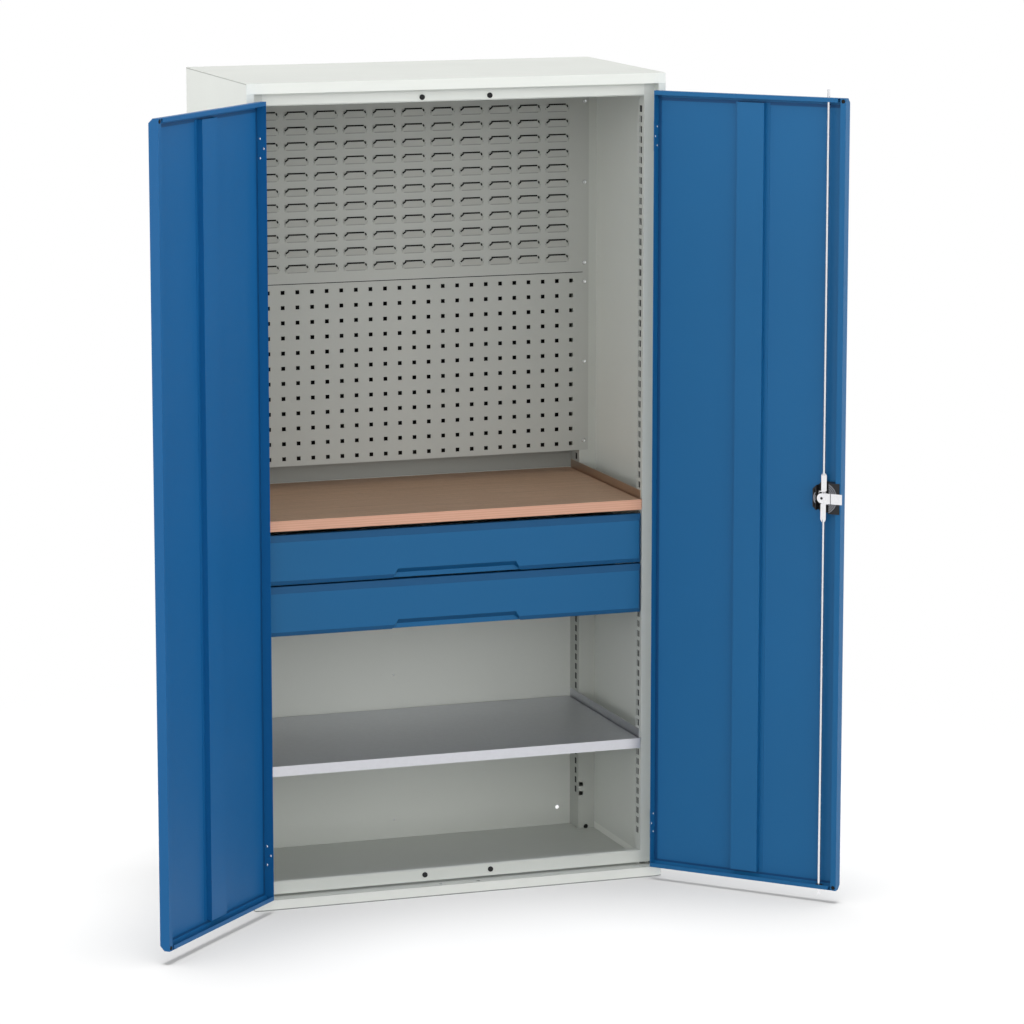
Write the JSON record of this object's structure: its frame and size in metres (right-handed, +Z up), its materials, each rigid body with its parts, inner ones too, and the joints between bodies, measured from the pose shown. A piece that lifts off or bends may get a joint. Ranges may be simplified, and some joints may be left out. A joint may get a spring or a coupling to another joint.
{
  "type": "hinged door cabinet",
  "caption": "Tall two-door steel tool cupboard, shown open, with louvred and square-hole back panels, wooden worktop, drawers, a shelf and a bolt-rod lock.",
  "frame": {"origin": "centre of the underside of the base, on the floor", "axes": "+X to the right seen from the front, +Y to the back, +Z up"},
  "size_m": [1.704, 0.9458, 2],
  "materials": {
    "light_grey_paint": "fine matt powder coat",
    "blue_paint": "fine matt powder coat",
    "grey_drawer_paint": "fine matt powder coat",
    "beech": "oiled multiplex, the plies showing on the edges",
    "galvanised": "satin zinc coat",
    "bright_steel": "bright zinc plate",
    "black_plastic": "fine matt",
    "white_plastic": "smooth",
    "black_rubber": "matt"
  },
  "bodies": {
    "carcass": {"top_hood": "light_grey_paint", "base_plinth": "light_grey_paint", "floor_panel": "light_grey_paint", "back_panel": "light_grey_paint", "top_rail": "light_grey_paint", "bottom_rail": "light_grey_paint", "door_buffers": "black_rubber", "louvre_panel": "light_grey_paint", "peg_panel": "light_grey_paint", "worktop": "beech", "shelf": "galvanised", "right_side_panel": "light_grey_paint", "left_side_panel": "light_grey_paint", "right_front_post": "light_grey_paint", "left_front_post": "light_grey_paint", "right_rear_post": "light_grey_paint", "left_rear_post": "light_grey_paint", "right_worktop_bearer": "galvanised", "left_worktop_bearer": "galvanised", "right_shelf_bearer": "galvanised", "left_shelf_bearer": "galvanised", "fixed_hinge_leaves": "light_grey_paint", "hinge_pins": "bright_steel", "right_upper_runner": "galvanised", "left_upper_runner": "galvanised", "right_lower_runner": "galvanised", "left_lower_runner": "galvanised", "upper_runner_rollers": "white_plastic", "lower_runner_rollers": "white_plastic"},
    "left_door": {"left_door_panel": "blue_paint", "left_stiffener": "blue_paint", "left_hinge_leaves": "blue_paint"},
    "right_door": {"right_door_panel": "blue_paint", "right_stiffener": "blue_paint", "right_hinge_leaves": "blue_paint", "lock_housing": "black_plastic", "handle_rose": "black_plastic", "rod_guides": "black_plastic"},
    "lock": {"lock_handle": "black_plastic", "lock_cam": "bright_steel", "lock_tongue": "bright_steel"},
    "upper_rod": {"upper_rod": "bright_steel"},
    "lower_rod": {"lower_rod": "bright_steel"},
    "upper_drawer": {"upper_drawer_front": "blue_paint", "upper_drawer_box": "grey_drawer_paint", "upper_drawer_slides": "galvanised", "upper_slide_rollers": "white_plastic"},
    "lower_drawer": {"lower_drawer_front": "blue_paint", "lower_drawer_box": "grey_drawer_paint", "lower_drawer_slides": "galvanised", "lower_slide_rollers": "white_plastic"}
  },
  "joints": [
    {"name": "left_door_hinge", "type": "hinge", "parent": "carcass", "child": "left_door", "pos_m": [-0.5053, -0.2775, 1], "axis": [0, 0, -1], "range_deg": [-134.7, 45.3]},
    {"name": "right_door_hinge", "type": "hinge", "parent": "carcass", "child": "right_door", "pos_m": [0.5053, -0.2775, 1], "axis": [0, 0, 1], "range_deg": [-133.3, 46.7]},
    {"name": "lock_turn", "type": "hinge", "parent": "right_door", "child": "lock", "pos_m": [0.81462, -0.6123, 1], "axis": [-0.7278, -0.6858, 0], "range_deg": [0, 90]},
    {"name": "upper_rod_slide", "type": "slide", "parent": "right_door", "child": "upper_rod", "axis": [0, 0, -1], "range_m": [0, 0.00901]},
    {"name": "lower_rod_slide", "type": "slide", "parent": "right_door", "child": "lower_rod", "axis": [0, 0, 1], "range_m": [0, 0.00901]},
    {"name": "upper_drawer_slide", "type": "slide", "parent": "carcass", "child": "upper_drawer", "axis": [0, -1, 0], "range_m": [0, 0.4]},
    {"name": "lower_drawer_slide", "type": "slide", "parent": "carcass", "child": "lower_drawer", "axis": [0, -1, 0], "range_m": [0, 0.4]}
  ],
  "couplings": [
    {"joint": "upper_rod_slide", "follows": "lock_turn", "m_per_rad": 0.0057296},
    {"joint": "lower_rod_slide", "follows": "lock_turn", "m_per_rad": 0.0057296}
  ]
}
